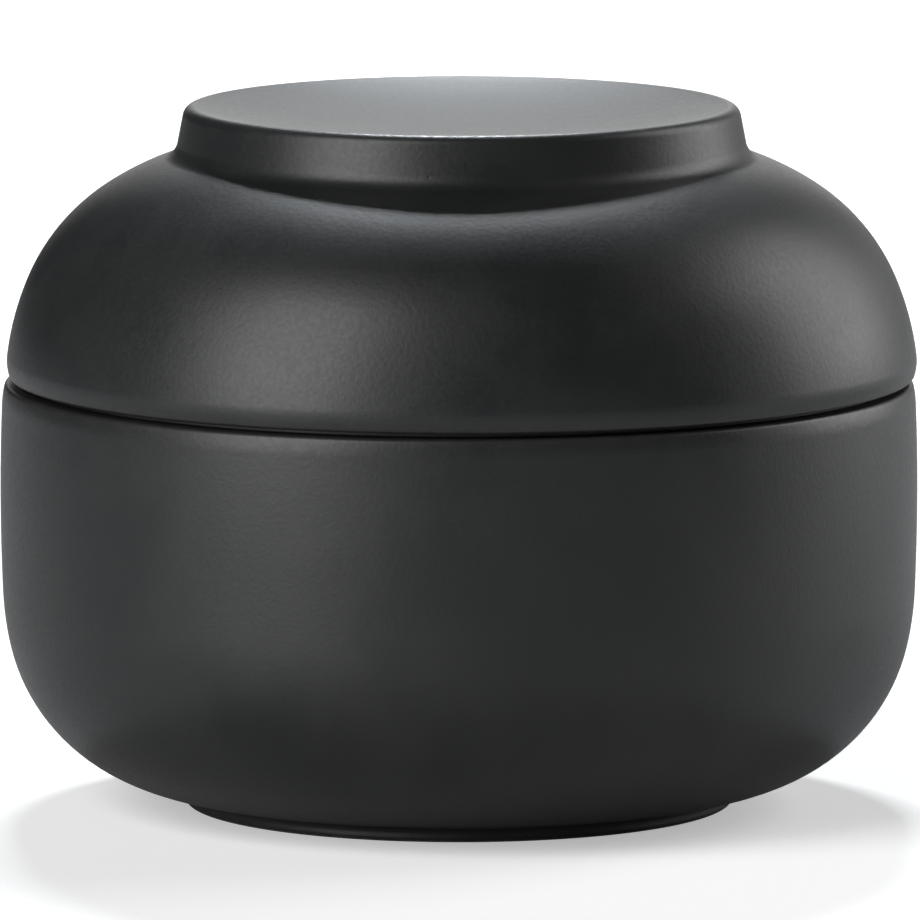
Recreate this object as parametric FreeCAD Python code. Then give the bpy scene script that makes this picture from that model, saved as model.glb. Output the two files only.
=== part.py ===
import FreeCAD, Part
import math
import os

# Round stoneware sugar bowl with a lift-off lid. Everything is turned about the Z axis.
# Origin: centre of the foot ring, on the surface that the bowl stands on. +Z is up.
# All lengths are in millimetres and all angles in degrees above the horizontal.

# Bowl, outside. Its wall is a run of tangent arcs, down from the widest level to the foot.
widest_radius = 41.1
rim_height = 38.05
upper_wall_radius = 185.0
bowl_arcs = [
    # radius, angle at its lower end
    (220.0, -2.4),
    (26.1, -13.4),
    (16.7, -84.0),
]
rim_curl_radius = 7.0
rim_curl_angle = 17.0
underside_slope = 6.0
underside_width = 1.1
foot_height = 1.4
foot_width = 2.8

# Bowl, inside.
bowl_wall = 3.6

# Lid, outside. Its wall is a run of tangent arcs, up from its lower edge to the grip ring.
# The first curls in towards the edge.
lid_edge_inset = 0.17
lid_edge_angle = -22.0
lid_arcs = [
    # radius, angle at its upper end
    (4.0, 7.2),
    (25.4, 23.3),
    (18.2, 57.0),
    (25.5, 70.5),
]
grip_side_draft = 10.9
grip_side_length = 2.56
grip_fillet = 1.9
grip_crest_round = 1.0
dish_depth = 2.4

# Lid, inside.
lid_wall = 3.6
ceiling_corner_radius = 30.0
flange_depth = 6.0
flange_width = 2.6
flange_gusset = 4.0

# Sealing ring: a sleeve on the lid's flange, with a collar that the lid rests on.
collar_thickness = 0.45
collar_setback = 1.4
sleeve_thickness = 0.8
sleeve_height = 4.4
seal_bead_radius = 0.35
mouth_clearance = 0.55

# The lid is a loose fit, and rests this far off centre, towards +X.
lid_shift = 0.25

# Edge roundings.
rim_round = 0.45
mouth_round = 1.1
foot_round = 0.5
foot_fillet = 0.7
flange_round = 0.8


def at(centre, radius, angle):
    """Point at an angle on a circle in the turning plane, as (distance from axis, height)."""
    turn = math.radians(angle)
    return centre[0] + radius * math.cos(turn), centre[1] + radius * math.sin(turn)


def tangent_centres(first, arcs):
    """Centres of a smooth run of arcs: each next centre lies on the normal where it starts."""
    centres = [first]
    for (radius, end), (next_radius, _) in zip(arcs, arcs[1:]):
        centres.append(at(centres[-1], radius - next_radius, end))
    return centres


def arc(centre, radius, start, end):
    """Arc edge in the turning plane."""
    points = [at(centre, radius, angle) for angle in (start, (start + end) / 2, end)]
    return Part.Arc(*[FreeCAD.Vector(r, 0, z) for r, z in points]).toShape()


def arc_run(centres, arcs, start, inset=0.0):
    """Edges of a smooth run of arcs, moved inwards by inset."""
    edges = []
    for centre, (radius, end) in zip(centres, arcs):
        edges.append(arc(centre, radius - inset, start, end))
        start = end
    return edges


def line(start, end):
    """Straight edge in the turning plane."""
    return Part.LineSegment(FreeCAD.Vector(start[0], 0, start[1]),
                            FreeCAD.Vector(end[0], 0, end[1])).toShape()


def polyline(points):
    """Straight edges through points in the turning plane."""
    return [line(a, b) for a, b in zip(points, points[1:])]


def turned(edges):
    """Solid of revolution about Z from a closed outline in the turning plane."""
    wire = Part.Wire(Part.__sortEdges__(edges))
    solid = Part.Face(wire).revolve(FreeCAD.Vector(0, 0, 0), FreeCAD.Vector(0, 0, 1), 360)
    return solid


def rounded(solid, radius, corners):
    """Round the circular edges that pass through the given corners of the outline."""
    edges = []
    for edge in solid.Edges:
        if edge.Degenerated or not isinstance(edge.Curve, Part.Circle):
            continue
        ring = (edge.Curve.Radius, edge.Curve.Center.z)
        if any(math.dist(ring, corner) < 1e-4 for corner in corners):
            edges.append(edge)
    return solid.makeFillet(radius, edges)


# Bowl levels and radii that follow from the arcs.
bowl_run = tangent_centres((widest_radius - bowl_arcs[0][0], 0.0), bowl_arcs)
heel_centre, (heel_radius, heel_end) = bowl_run[-1], bowl_arcs[-1]
heel_foot = at(heel_centre, heel_radius, heel_end)
underside_rise = underside_width * math.tan(math.radians(underside_slope))
widest_height = foot_height + underside_rise - heel_foot[1]
foot_radius = heel_foot[0] - underside_width
wall_rise = rim_height - widest_height


# The wall curls in a little under the rim. Inside, it runs straight on to the mouth.
upper_wall_centre = (widest_radius - upper_wall_radius, widest_height)
curl_rise = rim_curl_radius * math.sin(math.radians(rim_curl_angle))
curl_start = math.degrees(math.asin((wall_rise - curl_rise)
                                    / (upper_wall_radius - rim_curl_radius)))
curl_centre = at(upper_wall_centre, upper_wall_radius - rim_curl_radius, curl_start)
mouth_angle = math.degrees(math.asin(wall_rise / (upper_wall_radius - bowl_wall)))
rim_outer = at(curl_centre, rim_curl_radius, rim_curl_angle)[0]
mouth_radius = at(upper_wall_centre, upper_wall_radius - bowl_wall, mouth_angle)[0]


def bowl_side(inset, top_angle, lowest_angle):
    """Edges of the bowl's wall, down from an angle on its upper arc, moved inwards by inset."""
    centres = [(r, z + widest_height) for r, z in bowl_run]
    arcs = bowl_arcs[:-1] + [(heel_radius, lowest_angle)]
    upper = arc(upper_wall_centre, upper_wall_radius - inset, top_angle, 0.0)
    lowest = at(centres[-1], heel_radius - inset, lowest_angle)
    return [upper] + arc_run(centres, arcs, 0.0, inset), lowest


def make_bowl():
    """Open bowl of even wall, on a foot ring with a shallow recess inside it."""
    outside, heel = bowl_side(0.0, curl_start, heel_end)
    inside, floor_edge = bowl_side(bowl_wall, mouth_angle, -90.0)
    curl = arc(curl_centre, rim_curl_radius, rim_curl_angle, curl_start)
    foot_inner = foot_radius - foot_width
    underneath = polyline([heel, (foot_radius, foot_height), (foot_radius, 0.0),
                           (foot_inner, 0.0), (foot_inner, foot_height), (0.0, foot_height),
                           (0.0, floor_edge[1]), floor_edge])
    rim = line((mouth_radius, rim_height), (rim_outer, rim_height))
    bowl = turned([curl] + outside + underneath + inside + [rim])
    bowl = rounded(bowl, rim_round, [(rim_outer, rim_height)])
    bowl = rounded(bowl, mouth_round, [(mouth_radius, rim_height)])
    bowl = rounded(bowl, foot_round, [(foot_radius, 0.0), (foot_inner, 0.0)])
    return rounded(bowl, foot_fillet, [(foot_radius, foot_height), (foot_inner, foot_height)])


# Lid levels and radii. The lower edge stands one collar thickness above the bowl's rim.
lid_base = rim_height + collar_thickness
lid_edge_radius = rim_outer - lid_edge_inset
lid_first_centre = (lid_edge_radius - lid_arcs[0][0] * math.cos(math.radians(lid_edge_angle)),
                    lid_base - lid_arcs[0][0] * math.sin(math.radians(lid_edge_angle)))
lid_run = tangent_centres(lid_first_centre, lid_arcs)
crown_radius, crown_end = lid_arcs[-1]
flange_radius = mouth_radius - mouth_clearance - sleeve_thickness


def grip_outline():
    """Edges of the grip ring and its dish, from the crown in to the axis, and the dish's level."""
    root = at(lid_run[-1], crown_radius, crown_end)
    root_turn = 90.0 - grip_side_draft - (90.0 - crown_end)
    fillet_centre = at(root, grip_fillet, crown_end)
    fillet_start = crown_end - 180.0
    fillet_end = fillet_start - root_turn
    side_start = at(fillet_centre, grip_fillet, fillet_end)
    side_end = at(side_start, grip_side_length, 90.0 + grip_side_draft)
    crest_centre = at(side_end, -grip_crest_round, grip_side_draft)
    crest = (crest_centre[0], crest_centre[1] + grip_crest_round)
    dish_radius = (crest[0] ** 2 + dish_depth ** 2) / (2 * dish_depth)
    dish_angle = math.degrees(math.asin(crest[0] / dish_radius))
    dish_level = crest[1] - dish_depth
    edges = [arc(fillet_centre, grip_fillet, fillet_start, fillet_end),
             line(side_start, side_end),
             arc(crest_centre, grip_crest_round, grip_side_draft, 90.0),
             arc((0.0, dish_level + dish_radius), dish_radius, dish_angle - 90.0, -90.0)]
    return edges, dish_level


def make_lid():
    """Domed shell with a grip ring on top and a locating flange under its edge."""
    outside = arc_run(lid_run, lid_arcs, lid_edge_angle)
    inner_start = lid_arcs[0][1]
    inside = arc_run(lid_run[1:], lid_arcs[1:], inner_start, lid_wall)
    grip, dish_level = grip_outline()
    wall_end = at(lid_run[-1], crown_radius - lid_wall, crown_end)
    ceiling_centre = at(wall_end, -ceiling_corner_radius, crown_end)
    ceiling = (ceiling_centre[0], ceiling_centre[1] + ceiling_corner_radius)
    corner = arc(ceiling_centre, ceiling_corner_radius, crown_end, 90.0)
    top = polyline([ceiling, (0.0, ceiling[1]), (0.0, dish_level)])
    inner_edge = at(lid_run[1], lid_arcs[1][0] - lid_wall, inner_start)
    seat = polyline([inner_edge, (inner_edge[0], lid_base), (lid_edge_radius, lid_base)])
    dome = turned(outside + grip + top + [corner] + inside + seat)

    flange_inner = flange_radius - flange_width
    wall_middle = lid_edge_radius - lid_wall / 2
    gusset_top = lid_base + flange_gusset
    flange_end = lid_base - flange_depth
    flange = turned(polyline([(flange_inner, flange_end), (flange_radius, flange_end),
                              (flange_radius, lid_base), (wall_middle, lid_base),
                              (wall_middle, gusset_top), (flange_inner, lid_base),
                              (flange_inner, flange_end)]))
    lid = dome.fuse(flange).removeSplitter()
    lid = rounded(lid, flange_round, [(flange_inner, flange_end), (flange_radius, flange_end)])
    return rounded(lid, rim_round, [(lid_edge_radius, lid_base)])


def make_lid_seal():
    """Sleeve round the lid's flange, a bead on its outside, and a collar under the lid's edge."""
    sleeve_radius = flange_radius + sleeve_thickness
    sleeve_end = lid_base - sleeve_height
    collar_radius = rim_outer - collar_setback
    body = turned(polyline([(flange_radius, sleeve_end), (sleeve_radius, sleeve_end),
                            (sleeve_radius, rim_height), (collar_radius, rim_height),
                            (collar_radius, lid_base), (flange_radius, lid_base),
                            (flange_radius, sleeve_end)]))
    bead = Part.makeTorus(sleeve_radius, seal_bead_radius,
                          FreeCAD.Vector(0, 0, (sleeve_end + rim_height) / 2))
    inner_space = Part.makeCylinder(flange_radius + sleeve_thickness / 2, sleeve_height,
                                    FreeCAD.Vector(0, 0, sleeve_end))
    return body.fuse(bead.cut(inner_space)).removeSplitter()


def shifted(solid):
    """Lid piece at its resting place, off the bowl's axis."""
    return solid.translated(FreeCAD.Vector(lid_shift, 0, 0))


os.makedirs("parts", exist_ok=True)
nodes = {
    "bowl": make_bowl(),
    "lid": shifted(make_lid()),
    "lid_seal": shifted(make_lid_seal()),
}
for name, shape in nodes.items():
    shape.exportStep(f"parts/{name}.step")
    box = shape.optimalBoundingBox()
    print(name, shape.isValid(), len(shape.Solids), "solid, volume", round(shape.Volume, 1),
          "from", [round(v, 3) for v in (box.XMin, box.YMin, box.ZMin)],
          "to", [round(v, 3) for v in (box.XMax, box.YMax, box.ZMax)])
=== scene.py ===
import math

import bmesh
import bpy
from mathutils import Matrix, Vector


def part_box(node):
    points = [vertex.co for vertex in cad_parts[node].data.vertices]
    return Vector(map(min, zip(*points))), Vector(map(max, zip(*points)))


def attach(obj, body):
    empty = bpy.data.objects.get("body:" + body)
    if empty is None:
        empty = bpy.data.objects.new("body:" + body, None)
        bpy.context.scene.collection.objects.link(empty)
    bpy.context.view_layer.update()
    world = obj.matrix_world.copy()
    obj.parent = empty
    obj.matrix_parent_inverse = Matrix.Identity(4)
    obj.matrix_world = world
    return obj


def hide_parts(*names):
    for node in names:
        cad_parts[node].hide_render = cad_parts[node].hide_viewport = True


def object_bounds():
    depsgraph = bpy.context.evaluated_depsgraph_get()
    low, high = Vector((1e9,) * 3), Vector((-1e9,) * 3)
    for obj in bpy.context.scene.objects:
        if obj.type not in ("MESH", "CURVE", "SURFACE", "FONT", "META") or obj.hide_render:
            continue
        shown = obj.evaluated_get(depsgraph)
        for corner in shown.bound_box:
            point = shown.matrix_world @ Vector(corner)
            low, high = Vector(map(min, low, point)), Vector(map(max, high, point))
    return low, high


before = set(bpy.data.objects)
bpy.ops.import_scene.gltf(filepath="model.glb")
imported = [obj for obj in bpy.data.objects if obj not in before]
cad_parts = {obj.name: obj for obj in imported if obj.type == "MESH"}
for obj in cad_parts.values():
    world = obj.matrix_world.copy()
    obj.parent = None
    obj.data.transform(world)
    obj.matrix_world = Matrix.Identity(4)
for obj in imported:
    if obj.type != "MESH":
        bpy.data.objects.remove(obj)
cad_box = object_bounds()

# A matt black stoneware sugar bowl with a lift-off lid and a soft sealing ring, on a pale floor.
# Every piece is turned about the Z axis: an outline of (radius, height) is drawn from arcs and
# lines and spun. Lengths are in metres, and outline sizes are written in millimetres times MM.

MM = 0.001
TURN_STEPS = 192
TAU = 2 * math.pi

# Places that the frame gives. The bowl is as wide as the narrowest side of the frame's box.
bowl_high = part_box("bowl")[1]
lid_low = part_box("lid")[0]
seal_low, seal_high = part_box("lid_seal")
widest_radius = min(abs(value) for corner in cad_box for value in corner[:2])
rim_height = bowl_high.z
lid_base = seal_high.z
lid_end = lid_low.z
lid_shift = (seal_low.x + seal_high.x) / 2
collar_radius = (seal_high.x - seal_low.x) / 2
sleeve_end = seal_low.z

# Bowl: tangent arcs down from the widest level, as (radius, angle at the arc's lower end).
upper_wall_radius = 185.0 * MM
bowl_arcs = [(220.0 * MM, -2.4), (26.1 * MM, -13.4), (16.7 * MM, -84.0)]
bowl_wall = 3.6 * MM
rim_curl_radius = 7.0 * MM
rim_curl_angle = 17.0
underside_slope = math.radians(6.0)
underside_width = 1.1 * MM
foot_height = 1.4 * MM
foot_width = 2.8 * MM

# Lid: tangent arcs up from the lower edge, as (radius, angle at the arc's upper end).
lid_edge_inset = 0.17 * MM
lid_edge_angle = -22.0
lid_arcs = [(4.0 * MM, 7.2), (25.4 * MM, 23.3), (18.2 * MM, 57.0), (25.5 * MM, 70.5)]
lid_wall = 3.6 * MM
grip_fillet = 1.9 * MM
grip_side_draft = 10.9
grip_side_length = 2.56 * MM
grip_crest_round = 1.0 * MM
dish_depth = 2.4 * MM
ceiling_corner_radius = 30.0 * MM
flange_width = 2.6 * MM
flange_gusset = 4.0 * MM
sleeve_thickness = 0.8 * MM
mouth_clearance = 0.55 * MM
seal_bead_radius = 0.35 * MM

# Edge roundings.
rim_round = 0.45 * MM
mouth_round = 1.1 * MM
foot_round = 0.5 * MM
foot_fillet = 0.7 * MM
flange_round = 0.8 * MM
seal_round = 0.15 * MM
round_steps = 8
# Reach of the lighter band at the edges: thinner glaze there, and a painted highlight along them.
thin_and_highlit_reach = 1.6 * MM

# Bare clay on a land that is wiped before firing: where it starts and ends above the land, and
# how ragged that line is. The grain's height map lies about its middle.
bare_start = 0.10 * MM
bare_end = 0.22 * MM
bare_raggedness = 0.5 * MM
grain_middle = 0.64

# View and studio.
camera_distance = 1.4
camera_height = 0.21865
camera_aim = Vector((0.000094, 0.0, 0.03085))
camera_lens = 616.7
floor_size = 12.0
light_distance = 2.0
floor_glow = 0.40
floor_fades_from = 0.5
floor_fades_to = 1.1
world_brightness = 0.02
backdrop_brightness = 0.9


# ---------------------------------------------------------------- outlines

def at(centre, radius, angle):
    """Point on a circle in the turning plane, as (radius from the axis, height)."""
    turn = math.radians(angle)
    return centre[0] + radius * math.cos(turn), centre[1] + radius * math.sin(turn)


def tangent_centres(first, arcs):
    """Centres of a smooth run of arcs: each next centre lies on the normal where it starts."""
    centres = [first]
    for (radius, end), (next_radius, _) in zip(arcs, arcs[1:]):
        centres.append(at(centres[-1], radius - next_radius, end))
    return centres


def arc(centre, radius, start, end, spacing=0.9 * MM, most_turn=4.0):
    """Points along an arc, both ends included, close enough for a smooth silhouette."""
    length = abs(radius * math.radians(end - start))
    steps = max(2, math.ceil(length / spacing), math.ceil(abs(end - start) / most_turn))
    return [at(centre, radius, start + (end - start) * step / steps) for step in range(steps + 1)]


def arc_run(centres, arcs, start, inset=0.0):
    """Points along a smooth run of arcs, moved inwards by inset."""
    points = []
    for centre, (radius, end) in zip(centres, arcs):
        points += arc(centre, radius - inset, start, end)
        start = end
    return points


def straight(start, end, steps):
    """Points along a straight stretch, both ends included."""
    return [(start[0] + (end[0] - start[0]) * step / steps,
             start[1] + (end[1] - start[1]) * step / steps) for step in range(steps + 1)]


bowl_run = tangent_centres((widest_radius - bowl_arcs[0][0], 0.0), bowl_arcs)
heel_centre, (heel_radius, heel_end) = bowl_run[-1], bowl_arcs[-1]
heel_foot = at(heel_centre, heel_radius, heel_end)
widest_height = foot_height + underside_width * math.tan(underside_slope) - heel_foot[1]
foot_radius = heel_foot[0] - underside_width
foot_inner = foot_radius - foot_width


# The wall curls in a little under the rim. Inside, it runs straight on to the mouth.
wall_rise = rim_height - widest_height
upper_wall_centre = (widest_radius - upper_wall_radius, widest_height)
curl_rise = rim_curl_radius * math.sin(math.radians(rim_curl_angle))
curl_start = math.degrees(math.asin((wall_rise - curl_rise)
                                    / (upper_wall_radius - rim_curl_radius)))
curl_centre = at(upper_wall_centre, upper_wall_radius - rim_curl_radius, curl_start)
mouth_angle = math.degrees(math.asin(wall_rise / (upper_wall_radius - bowl_wall)))
rim_outer = at(curl_centre, rim_curl_radius, rim_curl_angle)[0]
mouth_radius = at(upper_wall_centre, upper_wall_radius - bowl_wall, mouth_angle)[0]
flange_radius = mouth_radius - mouth_clearance - sleeve_thickness
flange_inner = flange_radius - flange_width
lid_edge_radius = rim_outer - lid_edge_inset


def walk(points, length):
    """Point at a length along a run of points, and the points after it."""
    for index, (start, end) in enumerate(zip(points, points[1:])):
        step = math.dist(start, end)
        if step > length:
            part = length / step
            here = tuple(a + (b - a) * part for a, b in zip(start, end))
            return here, points[index + 1:]
        length -= step
    raise ValueError("the run of points is too short")


def softened(points, corner, radius):
    """Outline with one of its corners rounded by an arc that runs into both of its sides."""
    index = min(range(len(points)), key=lambda number: math.dist(points[number], corner))
    sides = [Vector(points[near]) - Vector(corner) for near in (index - 1, index + 1)]
    half = sides[0].angle(sides[1]) / 2
    start, before = walk(points[index::-1], radius / math.tan(half))
    end, after = walk(points[index:], radius / math.tan(half))
    bend = []
    for step in range(round_steps + 1):
        along = step / round_steps
        weights = ((1 - along) ** 2, 2 * along * (1 - along) * math.sin(half), along ** 2)
        bend.append(tuple(sum(w * p for w, p in zip(weights, places)) / sum(weights)
                          for places in zip(start, corner, end)))
    return before[::-1] + bend + after


def bowl_side(inset, top_angle, lowest_angle):
    """Points down the bowl's wall from an angle on its upper arc, moved inwards by inset."""
    centres = [(r, z + widest_height) for r, z in bowl_run]
    arcs = bowl_arcs[:-1] + [(heel_radius, lowest_angle)]
    upper = arc(upper_wall_centre, upper_wall_radius - inset, top_angle, 0.0, spacing=2.0 * MM)
    return upper + arc_run(centres, arcs, 0.0, inset)


def bowl_outline():
    """Bowl from the middle of its underside, out round the foot, up, over the rim and in."""
    floor = bowl_side(bowl_wall, mouth_angle, -90.0)
    curl = arc(curl_centre, rim_curl_radius, rim_curl_angle, curl_start, spacing=0.3 * MM)
    underside = straight((0.0, foot_height), (foot_inner, foot_height), 8)
    foot = [(foot_inner, 0.0), (foot_radius, 0.0), (foot_radius, foot_height)]
    inside = floor + straight(floor[-1], (0.0, floor[-1][1]), 8)
    outside = curl + bowl_side(0.0, curl_start, heel_end)[1:]
    outline = underside + foot + outside[::-1] + inside
    return softened(outline, (rim_outer, rim_height), rim_round)


lid_first_centre = (lid_edge_radius - lid_arcs[0][0] * math.cos(math.radians(lid_edge_angle)),
                    lid_base - lid_arcs[0][0] * math.sin(math.radians(lid_edge_angle)))
lid_run = tangent_centres(lid_first_centre, lid_arcs)
crown_radius, crown_end = lid_arcs[-1]


def grip_outline():
    """Grip ring and its dish, from the crown in to the axis, and the crest's middle."""
    root = at(lid_run[-1], crown_radius, crown_end)
    fillet_centre = at(root, grip_fillet, crown_end)
    fillet_start = crown_end - 180.0
    fillet_end = fillet_start - (crown_end - grip_side_draft)
    side_start = at(fillet_centre, grip_fillet, fillet_end)
    side_end = at(side_start, grip_side_length, 90.0 + grip_side_draft)
    crest_centre = at(side_end, -grip_crest_round, grip_side_draft)
    crest = (crest_centre[0], crest_centre[1] + grip_crest_round)
    dish_radius = (crest[0] ** 2 + dish_depth ** 2) / (2 * dish_depth)
    dish_angle = math.degrees(math.asin(crest[0] / dish_radius))
    dish_centre = (0.0, crest[1] - dish_depth + dish_radius)
    points = arc(fillet_centre, grip_fillet, fillet_start, fillet_end, spacing=0.25 * MM)
    points += straight(side_start, side_end, 3)
    points += arc(crest_centre, grip_crest_round, grip_side_draft, 90.0 + dish_angle,
                  spacing=0.12 * MM)
    points += arc(dish_centre, dish_radius, dish_angle - 90.0, -90.0)[1:]
    return points, crest_centre


def lid_outline():
    """Lid from the top of its dish, out over the grip ring, down, under the edge and in."""
    outside = arc_run(lid_run, lid_arcs, lid_edge_angle)
    inside = arc_run(lid_run[1:], lid_arcs[1:], lid_arcs[0][1], lid_wall)
    wall_end = at(lid_run[-1], crown_radius - lid_wall, crown_end)
    ceiling_centre = at(wall_end, -ceiling_corner_radius, crown_end)
    ceiling = arc(ceiling_centre, ceiling_corner_radius, crown_end, 90.0)
    ceiling += straight(ceiling[-1], (0.0, ceiling[-1][1]), 6)[1:]
    gusset_top = next(p for p in inside if p[1] > lid_base + flange_gusset)
    seat = [(lid_edge_radius, lid_base), (flange_radius, lid_base)]
    flange = straight((flange_radius, lid_base), (flange_radius, lid_end), 3)[1:]
    flange += straight((flange_inner, lid_end), (flange_inner, lid_base), 3)
    dome = [p for p in inside if p[1] >= gusset_top[1]]
    outline = grip_outline()[0][::-1] + outside[::-1] + seat[1:] + flange + dome + ceiling
    return softened(outline, (lid_edge_radius, lid_base), rim_round)


def seal_outline():
    """Section of the sealing ring: a sleeve with a bead outside, and a collar at its top."""
    sleeve_radius = flange_radius + sleeve_thickness
    bead_height = (sleeve_end + rim_height) / 2
    bead = arc((sleeve_radius, bead_height), seal_bead_radius, -90.0, 90.0, spacing=0.1 * MM)
    return ([(flange_radius, sleeve_end), (sleeve_radius, sleeve_end)] + bead
            + [(sleeve_radius, rim_height), (collar_radius, rim_height),
               (collar_radius, lid_base), (flange_radius, lid_base)])


# ---------------------------------------------------------------- turning

def turned_mesh(outline, closed=False):
    """Spin an outline once round the Z axis and close the poles."""
    bm = bmesh.new()
    points = [outline[0]]
    for point in outline[1:]:
        if math.dist(point, points[-1]) > 1e-6:
            points.append(point)
    verts = [bm.verts.new((r, 0.0, z)) for r, z in points]
    edges = [bm.edges.new(pair) for pair in zip(verts, verts[1:])]
    if closed:
        edges.append(bm.edges.new((verts[-1], verts[0])))
    bmesh.ops.spin(bm, geom=verts + edges, cent=(0, 0, 0), axis=(0, 0, 1), dvec=(0, 0, 0),
                   angle=TAU, steps=TURN_STEPS, use_merge=True, use_duplicate=False)
    bmesh.ops.remove_doubles(bm, verts=bm.verts, dist=1e-6)
    bmesh.ops.recalc_face_normals(bm, faces=bm.faces)
    return bm


def round_rings(bm, corners, offset):
    """Round the sharp circular edges at the given corners of the outline."""
    rings = []
    for edge in bm.edges:
        radii = [math.hypot(v.co.x, v.co.y) for v in edge.verts]
        heights = [v.co.z for v in edge.verts]
        for radius, height in corners:
            if all(abs(r - radius) < 1e-5 for r in radii) and all(abs(z - height) < 1e-5
                                                                 for z in heights):
                rings.append(edge)
    bmesh.ops.bevel(bm, geom=rings, offset=offset, offset_type="OFFSET", segments=round_steps,
                    profile=0.5, affect="EDGES", clamp_overlap=False, material=-1)


def mark_edges(mesh, rings, reach):
    """Store how near each point is to a handled edge, 0 to 1, for thinner glaze and a painted
    highlight.
    """
    wear = mesh.attributes.new("edge_thinning_and_highlight", "FLOAT", "POINT")
    for vertex, value in zip(mesh.vertices, wear.data):
        here = (math.hypot(vertex.co.x, vertex.co.y), vertex.co.z)
        nearest = min(math.dist(here, ring) for ring in rings)
        value.value = max(0.0, 1.0 - nearest / reach)


def finish_piece(bm, name, material, body, thin_and_highlit_rings, shift=0.0):
    """Mesh object with smooth faces and its material, riding on its body in place of the CAD node."""
    mesh = bpy.data.meshes.new(name)
    for face in bm.faces:
        face.smooth = True
    bm.to_mesh(mesh)
    bm.free()
    mark_edges(mesh, thin_and_highlit_rings, thin_and_highlit_reach)
    mesh.transform(Matrix.Translation((shift, 0.0, 0.0)))
    mesh.materials.append(material)
    piece = bpy.data.objects.new(name, mesh)
    bpy.context.scene.collection.objects.link(piece)
    normals = piece.modifiers.new("even_shading", "WEIGHTED_NORMAL")
    normals.mode = "FACE_AREA"
    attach(piece, body)
    return piece


# ---------------------------------------------------------------- materials

def add(tree, kind, inputs=None, **settings):
    """Add a node, with its settings and with values or links on its inputs."""
    item = tree.nodes.new(kind)
    for name, value in settings.items():
        setattr(item, name, value)
    for key, value in (inputs or {}).items():
        if isinstance(value, bpy.types.NodeSocket):
            tree.links.new(value, item.inputs[key])
        else:
            item.inputs[key].default_value = value
    return item


def calculate(tree, operation, first, second=0.0):
    """Result of a Math node."""
    return add(tree, "ShaderNodeMath", {0: first, 1: second}, operation=operation).outputs[0]


def blend_colour(tree, factor, first, second):
    """Colour that goes from first to second as factor rises."""
    inputs = {0: factor, 6: first, 7: second}
    return add(tree, "ShaderNodeMix", inputs, data_type="RGBA").outputs[2]


def blend_value(tree, factor, first, second):
    """Value that goes from first to second as factor rises."""
    inputs = {"Value": factor, "To Min": first, "To Max": second}
    return add(tree, "ShaderNodeMapRange", inputs).outputs["Result"]


def smooth_step(tree, value, low, high):
    """Mask that rises smoothly from 0 at low to 1 at high."""
    inputs = {"Value": value, "From Min": low, "From Max": high}
    step = add(tree, "ShaderNodeMapRange", inputs, interpolation_type="SMOOTHSTEP")
    return step.outputs["Result"]


def noise(tree, coordinates, size, detail, roughness=0.5):
    """Noise with features of about the given size in metres, from 0 to 1."""
    inputs = {"Vector": coordinates, "Scale": calculate(tree, "DIVIDE", 1.0, size),
              "Detail": detail, "Roughness": roughness}
    return add(tree, "ShaderNodeTexNoise", inputs).outputs[0]


def start_group(name, values, output):
    """Shader node group with a Vector input, named float inputs and one float output."""
    tree = bpy.data.node_groups.new(name, "ShaderNodeTree")
    tree.interface.new_socket(name="Vector", in_out="INPUT", socket_type="NodeSocketVector")
    for value in values:
        tree.interface.new_socket(name=value, in_out="INPUT", socket_type="NodeSocketFloat")
    tree.interface.new_socket(name=output, in_out="OUTPUT", socket_type="NodeSocketFloat")
    return tree, tree.nodes.new("NodeGroupInput").outputs, tree.nodes.new("NodeGroupOutput").inputs


def grain_group():
    """Fine grainy surface: soft bumps with a smaller grain on them."""
    tree, given, result = start_group("fine_grain", ["Size"], "Height")
    soft = noise(tree, given["Vector"], given["Size"], 1.0)
    small_size = calculate(tree, "MULTIPLY", given["Size"], 0.31)
    small = noise(tree, given["Vector"], small_size, 2.0, 0.6)
    height = calculate(tree, "ADD", soft, calculate(tree, "MULTIPLY", small, 0.28))
    tree.links.new(height, result["Height"])
    return tree


def clouds_group():
    """Slow, uneven clouds, such as where a glaze lies thicker."""
    tree, given, result = start_group("soft_clouds", ["Size"], "Mask")
    cloud = noise(tree, given["Vector"], given["Size"], 3.0, 0.55)
    tree.links.new(smooth_step(tree, cloud, 0.32, 0.68), result["Mask"])
    return tree


def specks_group():
    """Scattered round specks of different sizes, such as pits in a glaze or dust."""
    tree, given, result = start_group("specks", ["Spacing", "Radius", "Share"], "Mask")
    scale = calculate(tree, "DIVIDE", 1.0, given["Spacing"])
    cells = add(tree, "ShaderNodeTexVoronoi", {"Vector": given["Vector"], "Scale": scale})
    chance = add(tree, "ShaderNodeSeparateColor", {"Color": cells.outputs["Color"]})
    reach = calculate(tree, "DIVIDE", given["Radius"], given["Spacing"])
    size = calculate(tree, "MULTIPLY", reach, chance.outputs[1])
    nearness = calculate(tree, "DIVIDE", cells.outputs["Distance"], size)
    spot = smooth_step(tree, nearness, 1.0, 0.35)
    kept = calculate(tree, "LESS_THAN", chance.outputs[0], given["Share"])
    tree.links.new(calculate(tree, "MULTIPLY", spot, kept), result["Mask"])
    return tree


def edge_group():
    """Where a handled edge is near, broken up by noise: thinner glaze and a painted highlight."""
    tree, given, result = start_group("thin_and_highlit_edge", ["Size"], "Mask")
    near = add(tree, "ShaderNodeAttribute", attribute_name="edge_thinning_and_highlight").outputs["Fac"]
    broken = noise(tree, given["Vector"], given["Size"], 3.0, 0.6)
    level = calculate(tree, "ADD", near, calculate(tree, "SUBTRACT", broken, 0.5))
    tree.links.new(smooth_step(tree, level, 0.45, 1.05), result["Mask"])
    return tree


def start_material(name):
    """New material: its node tree, its shader and the piece's own coordinates."""
    material = bpy.data.materials.new(name)
    material.use_nodes = True
    tree = material.node_tree
    coordinates = add(tree, "ShaderNodeTexCoord").outputs["Object"]
    return material, tree, tree.nodes["Principled BSDF"], coordinates


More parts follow.
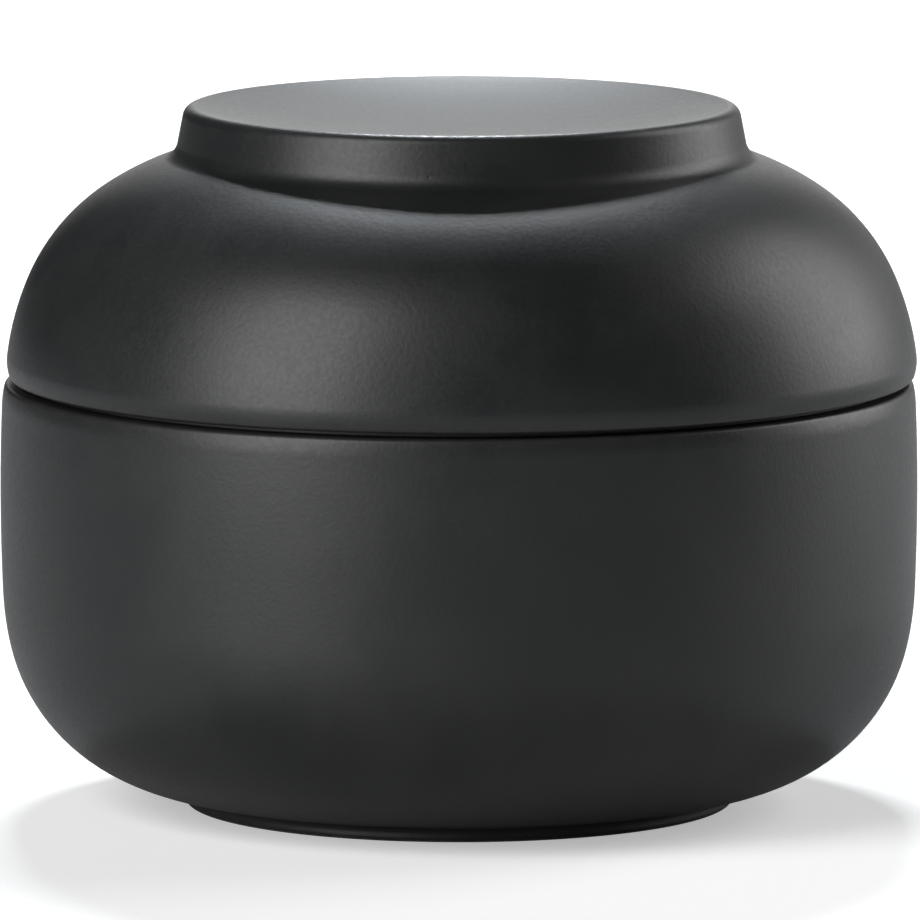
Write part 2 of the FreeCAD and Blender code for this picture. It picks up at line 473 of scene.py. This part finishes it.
def place(tree, group, coordinates, **values):
    """Use a shader node group on the piece's coordinates."""
    item = add(tree, "ShaderNodeGroup", node_tree=group)
    tree.links.new(coordinates, item.inputs["Vector"])
    for name, value in values.items():
        item.inputs[name].default_value = value
    return item.outputs[0]


def add_heights(tree, layers):
    """Sum of height maps, each with its own height in millimetres."""
    total = None
    for source, height in layers:
        layer = calculate(tree, "MULTIPLY", source, height)
        total = layer if total is None else calculate(tree, "ADD", total, layer)
    return total


def set_bump(tree, shader, height):
    """Bump the shader by a height map in millimetres."""
    bump = add(tree, "ShaderNodeBump", {"Strength": 1.0, "Distance": MM, "Height": height})
    tree.links.new(bump.outputs["Normal"], shader.inputs["Normal"])


def glaze_material(name, groups, bare_level):
    """Matt black glaze on dark stoneware. The clay is bare on the land at the bare level."""
    material, tree, shader, coordinates = start_material(name)
    grain = place(tree, groups["grain"], coordinates, Size=0.42 * MM)
    clouds = place(tree, groups["clouds"], coordinates, Size=9.0 * MM)
    pinhole_pits_and_shade = place(tree, groups["specks"], coordinates, Spacing=1.4 * MM, Radius=0.18 * MM,
                     Share=0.35)
    thin_glaze_and_highlight = place(tree, groups["edge"], coordinates, Size=1.5 * MM)
    waves = noise(tree, coordinates, 14.0 * MM, 1.0)
    clay_grain = place(tree, groups["grain"], coordinates, Size=0.25 * MM)

    level = add(tree, "ShaderNodeSeparateXYZ", {"Vector": coordinates}).outputs["Z"]
    off_middle = calculate(tree, "SUBTRACT", clay_grain, grain_middle)
    ragged = calculate(tree, "MULTIPLY", off_middle, bare_raggedness)
    bare = smooth_step(tree, calculate(tree, "ADD", level, ragged),
                       bare_level + bare_end, bare_level + bare_start)

    glaze = blend_colour(tree, clouds, (0.0105, 0.0112, 0.0118, 1), (0.0142, 0.0148, 0.0150, 1))
    # Lighter, browner glaze near the edges: thinner glaze there, and a painted highlight along the
    # edges.
    glaze = blend_colour(tree, calculate(tree, "MULTIPLY", thin_glaze_and_highlight, 0.35), glaze,
                         (0.030, 0.026, 0.023, 1))
    # Pinholes: pits bumped into the glaze, with painted shade darkening the inside of each pit.
    glaze = blend_colour(tree, calculate(tree, "MULTIPLY", pinhole_pits_and_shade, 0.6), glaze,
                         (0.004, 0.004, 0.004, 1))
    clay = blend_colour(tree, clay_grain, (0.045, 0.038, 0.033, 1), (0.105, 0.090, 0.078, 1))
    tree.links.new(blend_colour(tree, bare, glaze, clay), shader.inputs["Base Color"])

    roughness = calculate(tree, "ADD", blend_value(tree, clouds, 0.295, 0.325),
                          calculate(tree, "MULTIPLY", grain, 0.15))
    tree.links.new(blend_value(tree, bare, roughness, 0.88), shader.inputs["Roughness"])

    glaze_height = add_heights(tree, [(waves, 0.030), (grain, 0.013), (pinhole_pits_and_shade, -0.008)])
    clay_height = calculate(tree, "MULTIPLY", clay_grain, 0.030)
    set_bump(tree, shader, blend_value(tree, bare, glaze_height, clay_height))
    return material


def silicone_material(groups):
    """Black silicone rubber with the faint texture of its mould, and a little dust on it."""
    material, tree, shader, coordinates = start_material("black_silicone")
    grain = place(tree, groups["grain"], coordinates, Size=0.16 * MM)
    clouds = place(tree, groups["clouds"], coordinates, Size=5.0 * MM)
    dust = place(tree, groups["specks"], coordinates, Spacing=0.9 * MM, Radius=0.12 * MM,
                 Share=0.35)
    rubber = blend_colour(tree, clouds, (0.0075, 0.0075, 0.0078, 1), (0.0110, 0.0110, 0.0112, 1))
    dusty = blend_colour(tree, calculate(tree, "MULTIPLY", dust, 0.3), rubber,
                         (0.10, 0.098, 0.094, 1))
    tree.links.new(dusty, shader.inputs["Base Color"])
    tree.links.new(blend_value(tree, clouds, 0.52, 0.64), shader.inputs["Roughness"])
    set_bump(tree, shader, add_heights(tree, [(grain, 0.004), (dust, 0.006)]))
    return material


# ---------------------------------------------------------------- pieces

def make_bowl(material):
    """Stoneware bowl."""
    bm = turned_mesh(bowl_outline())
    round_rings(bm, [(mouth_radius, rim_height)], mouth_round)
    round_rings(bm, [(foot_radius, 0.0), (foot_inner, 0.0)], foot_round)
    round_rings(bm, [(foot_radius, foot_height), (foot_inner, foot_height)], foot_fillet)
    rings = [(rim_outer, rim_height), (mouth_radius, rim_height), (foot_radius, 0.0)]
    piece = finish_piece(bm, "stoneware_bowl", material, "bowl", rings)
    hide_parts("bowl")


def make_lid(material):
    """Stoneware lid with its grip ring and locating flange."""
    bm = turned_mesh(lid_outline())
    round_rings(bm, [(flange_radius, lid_end), (flange_inner, lid_end)], flange_round)
    rings = [grip_outline()[1], (lid_edge_radius, lid_base), (flange_inner, lid_end)]
    piece = finish_piece(bm, "stoneware_lid", material, "lid", rings, lid_shift)
    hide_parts("lid")


def make_seal(material):
    """Silicone sealing ring."""
    bm = turned_mesh(seal_outline(), closed=True)
    corners = [(flange_radius, sleeve_end), (flange_radius + sleeve_thickness, sleeve_end),
               (collar_radius, rim_height), (collar_radius, lid_base)]
    round_rings(bm, corners, seal_round)
    piece = finish_piece(bm, "sealing_ring", material, "lid",
                         [(collar_radius, rim_height)], lid_shift)
    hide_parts("lid_seal")


# ---------------------------------------------------------------- stage

def make_floor():
    """Plain pale floor, part of the stage. The glaze mirrors it darker, and only close by."""
    bm = bmesh.new()
    bmesh.ops.create_grid(bm, x_segments=1, y_segments=1, size=floor_size / 2)
    mesh = bpy.data.meshes.new("floor")
    bm.to_mesh(mesh)
    bm.free()
    floor = bpy.data.objects.new("floor", mesh)
    bpy.context.scene.collection.objects.link(floor)
    material = bpy.data.materials.new("pale_floor")
    material.use_nodes = True
    tree = material.node_tree
    shader = tree.nodes["Principled BSDF"]
    ray = add(tree, "ShaderNodeLightPath").outputs
    place_on_floor = add(tree, "ShaderNodeTexCoord").outputs["Object"]
    distance = add(tree, "ShaderNodeVectorMath", {0: place_on_floor}, operation="LENGTH")
    far = smooth_step(tree, distance.outputs["Value"], floor_fades_from, floor_fades_to)
    mirrored = blend_colour(tree, far, (0.52, 0.52, 0.52, 1), (0.08, 0.08, 0.08, 1))
    pale = blend_colour(tree, ray["Is Glossy Ray"], (0.90, 0.90, 0.90, 1), mirrored)
    tree.links.new(pale, shader.inputs["Base Color"])
    glow = blend_value(tree, ray["Is Camera Ray"], 0.0, floor_glow)
    tree.links.new(glow, shader.inputs["Emission Strength"])
    shader.inputs["Emission Color"].default_value = (1, 1, 1, 1)
    shader.inputs["Roughness"].default_value = 0.9
    shader.inputs["Specular IOR Level"].default_value = 0.0
    mesh.materials.append(material)
    floor.visible_shadow = False


def make_light(name, azimuth, elevation, width, height, brightness, colour):
    """Soft box facing the bowl, from its angles across and up and its evenly bright face.

    Azimuth 0 is at the camera's side, and grows to the right.
    """
    turn, rise = math.radians(azimuth), math.radians(elevation)
    place_at = Vector((math.sin(turn) * math.cos(rise), -math.cos(turn) * math.cos(rise),
                       math.sin(rise))) * light_distance
    light = bpy.data.lights.new(name, "AREA")
    light.shape = "RECTANGLE"
    light.size = 2 * light_distance * math.tan(math.radians(width / 2))
    light.size_y = 2 * light_distance * math.tan(math.radians(height / 2))
    light.energy = brightness * math.pi * light.size * light.size_y
    light.color = colour
    lamp = bpy.data.objects.new(name, light)
    lamp.location = place_at
    lamp.rotation_euler = (-place_at).to_track_quat("-Z", "Y").to_euler()
    lamp.visible_camera = False
    bpy.context.scene.collection.objects.link(lamp)


def make_world():
    """Dark studio that looks pale behind the floor."""
    world = bpy.data.worlds.new("studio")
    bpy.context.scene.world = world
    world.use_nodes = True
    tree = world.node_tree
    background = tree.nodes["Background"]
    background.inputs["Color"].default_value = (1, 1, 1, 1)
    ray = add(tree, "ShaderNodeLightPath").outputs
    strength = blend_value(tree, ray["Is Camera Ray"], world_brightness, backdrop_brightness)
    tree.links.new(strength, background.inputs["Strength"])


def make_camera():
    """Long lens a little above the bowl."""
    data = bpy.data.cameras.new("camera")
    data.lens = camera_lens
    data.sensor_width = 36.0
    data.clip_end = 50.0
    camera = bpy.data.objects.new("camera", data)
    camera.location = (camera_aim.x, -camera_distance, camera_height)
    camera.rotation_euler = (camera_aim - camera.location).to_track_quat("-Z", "Y").to_euler()
    bpy.context.scene.collection.objects.link(camera)
    bpy.context.scene.camera = camera


groups = {"grain": grain_group(), "clouds": clouds_group(), "specks": specks_group(),
          "edge": edge_group()}
make_bowl(glaze_material("bowl_black_glaze", groups, bare_level=0.0))
make_lid(glaze_material("lid_black_glaze", groups, bare_level=lid_end))
make_seal(silicone_material(groups))
make_camera()
make_floor()
make_world()
white, cool, warm = (1.0, 1.0, 1.0), (0.91, 0.96, 1.0), (1.0, 0.98, 0.95)
make_light("left_soft_box", -48, 23, width=35.5, height=62, brightness=4.85, colour=white)
make_light("right_soft_box", 115, 17, width=37.5, height=56, brightness=3.35, colour=white)
make_light("back_strip_light", 180.8, 48.2, width=10, height=3.5, brightness=178, colour=cool)
make_light("back_panel", 180, 7, width=24, height=30, brightness=0.95, colour=warm)
make_light("back_fill", 160, 8, width=44, height=36, brightness=0.35, colour=white)

bpy.context.scene.view_settings.view_transform = "Standard"
